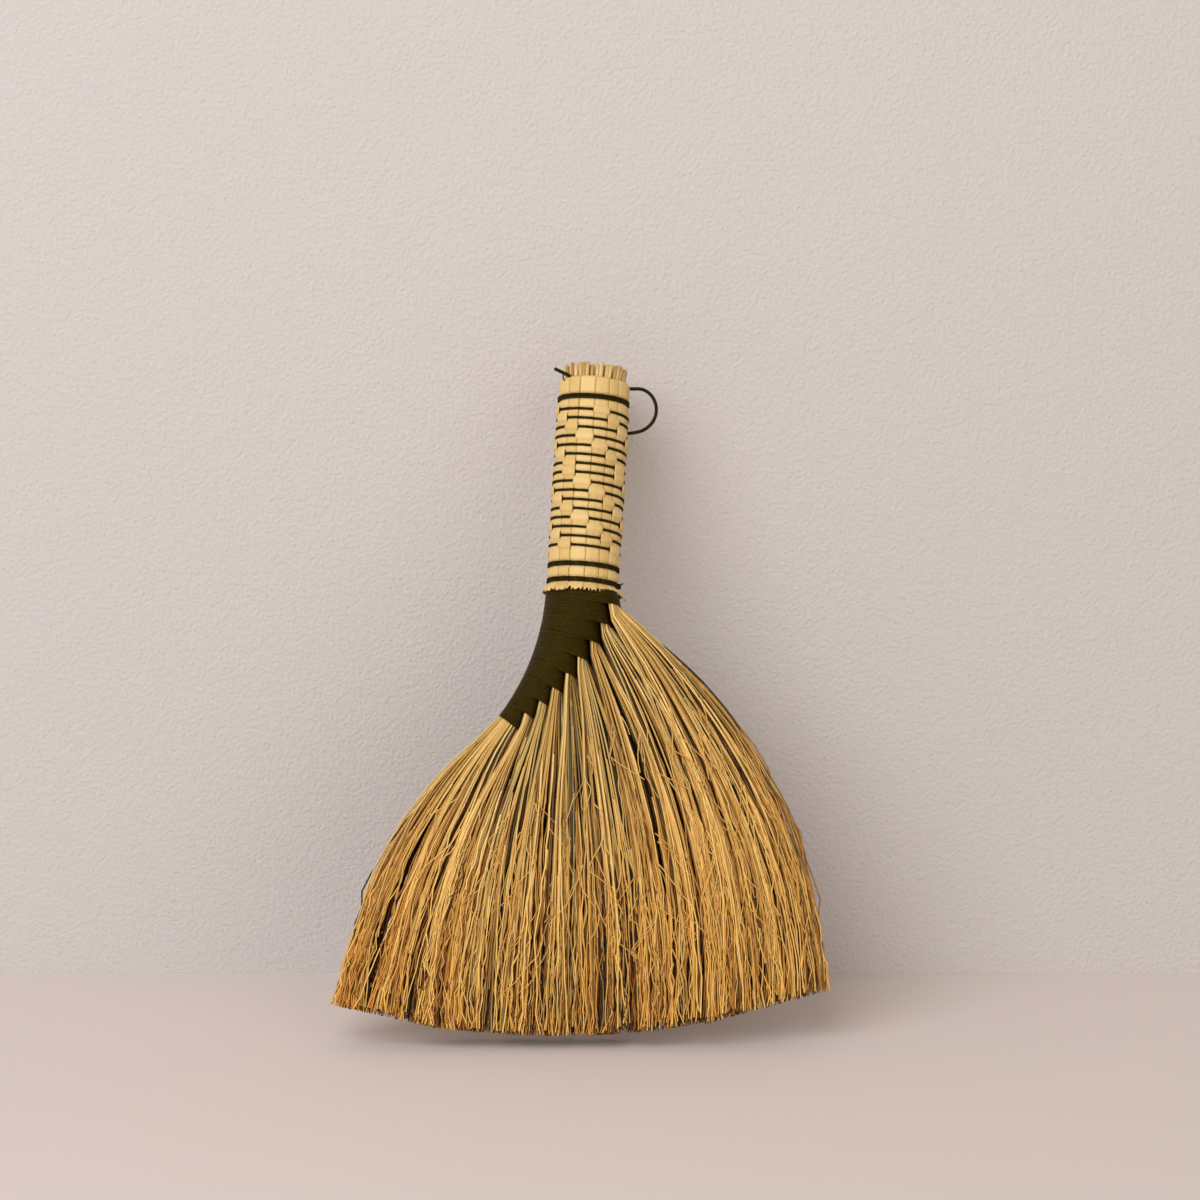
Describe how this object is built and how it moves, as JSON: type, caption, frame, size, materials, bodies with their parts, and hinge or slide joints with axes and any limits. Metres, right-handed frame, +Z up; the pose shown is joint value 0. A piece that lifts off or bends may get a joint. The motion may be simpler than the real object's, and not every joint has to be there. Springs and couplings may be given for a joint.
{
  "type": "hand broom",
  "caption": "Hand broom of broomcorn bundles that fan out from a thread-wrapped neck to one side of a round woven stalk handle with a cord hanging loop.",
  "frame": {"origin": "middle of the bounding box at floor level, under the lowest fibre tips", "axes": "+Z up along the handle, +X across the fan towards its hanging loop, +Y through the fan's thickness towards its back"},
  "size_m": [0.215, 0.035, 0.3],
  "materials": {
    "broomcorn": "matte dry plant fibre, straw to golden",
    "split_stalk": "satin cream straw",
    "stalk_core": "matte cut stalk ends",
    "waxed_thread": "waxed twisted thread, olive black",
    "neck_thread": "matte wound thread, dark olive",
    "loop_cord": "waxed cord, olive black"
  },
  "bodies": {
    "broom": {"hurl_01": "broomcorn", "hurl_02": "broomcorn", "hurl_03": "broomcorn", "hurl_04": "broomcorn", "hurl_05": "broomcorn", "hurl_06": "broomcorn", "hurl_07": "broomcorn", "hurl_08": "broomcorn", "hurl_09": "broomcorn", "stalk_strip_01": "split_stalk", "stalk_strip_02": "split_stalk", "stalk_strip_03": "split_stalk", "stalk_strip_04": "split_stalk", "stalk_strip_05": "split_stalk", "stalk_strip_06": "split_stalk", "stalk_strip_07": "split_stalk", "stalk_strip_08": "split_stalk", "stalk_strip_09": "split_stalk", "stalk_strip_10": "split_stalk", "stalk_strip_11": "split_stalk", "stalk_strip_12": "split_stalk", "stalk_strip_13": "split_stalk", "stalk_strip_14": "split_stalk", "stalk_strip_15": "split_stalk", "weave_thread": "waxed_thread", "top_binding": "waxed_thread", "lower_binding": "waxed_thread", "hem_binding": "waxed_thread", "hem_knot": "waxed_thread", "core_stalks": "stalk_core", "neck_wrap": "neck_thread", "cord_tail": "loop_cord"},
    "loop": {"hanging_loop": "loop_cord"}
  },
  "joints": [
    {"name": "loop_swing", "type": "hinge", "parent": "broom", "child": "loop", "pos_m": [0.0071, 0, 0.2811], "axis": [0, 0, 1], "range_deg": [-80, 80]}
  ]
}
